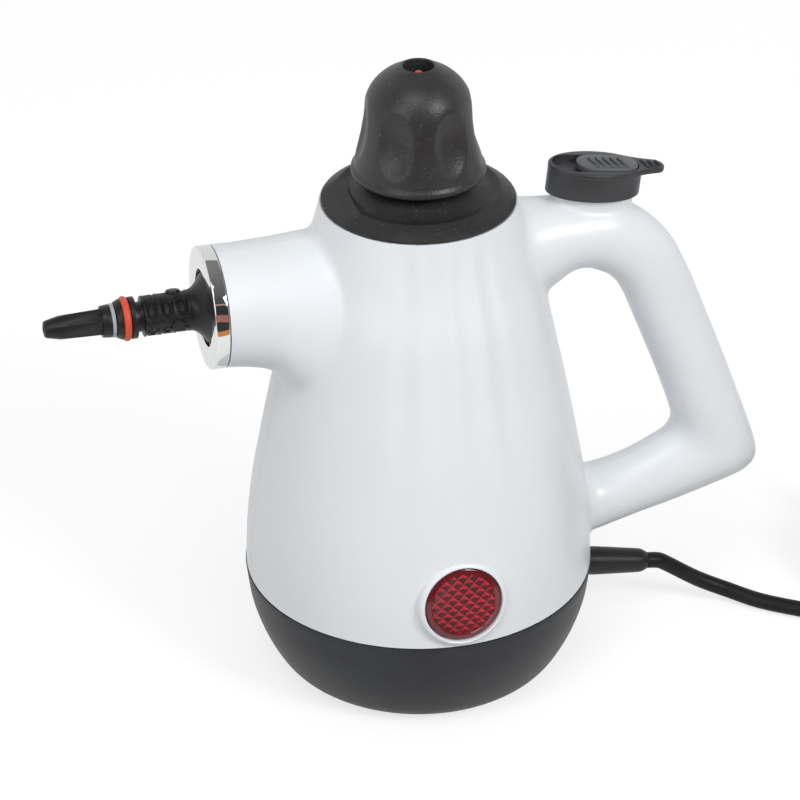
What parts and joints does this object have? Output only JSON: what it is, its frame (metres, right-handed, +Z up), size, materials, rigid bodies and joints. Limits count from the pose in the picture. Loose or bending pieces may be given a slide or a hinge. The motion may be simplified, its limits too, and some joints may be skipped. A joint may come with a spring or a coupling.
{
  "type": "handheld steam cleaner",
  "caption": "Handheld steam cleaner: pear-shaped white housing with a loop handle, thumb trigger, twist cap, short spout with a stepped nozzle, grey base, lens, cord and plug.",
  "frame": {"origin": "middle of the flat underside of the base, on the floor", "axes": "+Z up, the spout points to -X, the handle to +X, and the indicator lens faces -Y"},
  "size_m": [0.4416, 0.1741, 0.245],
  "materials": {
    "white_plastic": "smooth moulded white plastic",
    "dark_grey_plastic": "satin dark grey plastic",
    "black_plastic": "satin black plastic",
    "speckled_black": "matt black plastic with a fine texture",
    "chrome": "bright chrome plate",
    "cast_aluminium": "cast",
    "steel": "plain",
    "brass": "machined",
    "red_lens": "clear red moulding, faceted behind",
    "red_rubber": "smooth",
    "grey_rubber": "translucent grey",
    "black_rubber": "satin",
    "pale_ceramic": "matt",
    "lamp_glass": "clear"
  },
  "bodies": {
    "body": {"base_cup": "dark_grey_plastic", "base_screw_1": "steel", "base_screw_2": "steel", "base_screw_3": "steel", "boiler_gasket": "red_rubber", "boiler_lid": "cast_aluminium", "boiler_pot": "cast_aluminium", "clamp_screw_1": "steel", "clamp_screw_2": "steel", "cord_clamp": "black_plastic", "cord_coil": "black_rubber", "cord_gland": "black_rubber", "cord_tie": "black_plastic", "fill_collar": "speckled_black", "heating_element": "steel", "housing_left": "white_plastic", "housing_right": "white_plastic", "indicator_lamp": "lamp_glass", "indicator_lens": "red_lens", "inner_lead": "black_rubber", "lamp_holder": "pale_ceramic", "lever_pin": "steel", "lid_screw_1": "steel", "lid_screw_2": "steel", "lid_screw_3": "steel", "lid_screw_4": "steel", "mains_cord": "black_rubber", "mains_cord_end": "black_rubber", "nozzle": "black_plastic", "nozzle_o_ring": "red_rubber", "nozzle_seal_ring": "grey_rubber", "nozzle_socket": "brass", "plug_body": "black_rubber", "plug_pin_1": "chrome", "plug_pin_2": "chrome", "shell_screw_1": "steel", "shell_screw_2": "steel", "shell_screw_3": "steel", "shell_screw_4": "steel", "spout_bezel": "chrome", "steam_tube": "grey_rubber", "steam_valve": "brass", "terminal_block": "pale_ceramic", "thermal_fuse": "pale_ceramic", "thermostat": "pale_ceramic", "trigger_spring": "steel"},
    "cap_seal": {"cap_gasket": "red_rubber"},
    "cap_plug": {"cap_core": "black_plastic", "cap_spring": "steel"},
    "cap_grip": {"cap_bell": "speckled_black"},
    "safety_pin": {"relief_pin": "red_rubber"},
    "trigger": {"trigger_button": "dark_grey_plastic"},
    "lock": {"lock_slider": "dark_grey_plastic"},
    "lever": {"valve_lever": "steel"},
    "stem": {"valve_stem": "steel"}
  },
  "joints": [
    {"name": "cap_lift", "type": "slide", "parent": "body", "child": "cap_seal", "axis": [0, 0, 1], "range_m": [0, 0.0075]},
    {"name": "cap_unscrew", "type": "hinge", "parent": "cap_seal", "child": "cap_plug", "pos_m": [0, 0, 0.1925], "axis": [0, 0, 1], "range_deg": [0, 910]},
    {"name": "cap_press", "type": "slide", "parent": "cap_plug", "child": "cap_grip", "axis": [0, 0, -1], "range_m": [0, 0.003], "stiffness_N_per_m": 800, "springref_m": -0.004, "deforming": ["cap_spring"]},
    {"name": "relief_lift", "type": "slide", "parent": "cap_plug", "child": "safety_pin", "axis": [0, 0, 1], "range_m": [0, 0.0015]},
    {"name": "trigger_press", "type": "slide", "parent": "body", "child": "trigger", "axis": [0, 0, -1], "range_m": [0, 0.003], "stiffness_N_per_m": 600, "springref_m": -0.004, "deforming": ["trigger_spring"]},
    {"name": "lock_slide", "type": "slide", "parent": "trigger", "child": "lock", "axis": [-0.9897, 0, 0.1435], "range_m": [0, 0.007]},
    {"name": "lever_swing", "type": "hinge", "parent": "body", "child": "lever", "pos_m": [0.048, 0, 0.1695], "axis": [0, 1, 0], "range_deg": [0, 9.4]},
    {"name": "valve_lift", "type": "slide", "parent": "body", "child": "stem", "axis": [0, 0, 1], "range_m": [0, 0.0036]}
  ],
  "couplings": [
    {"joint": "cap_unscrew", "follows": "cap_lift", "rad_per_m": 2094.4},
    {"joint": "lever_swing", "follows": "trigger_press", "rad_per_m": 54.054},
    {"joint": "valve_lift", "follows": "trigger_press", "ratio": 1.1892}
  ]
}
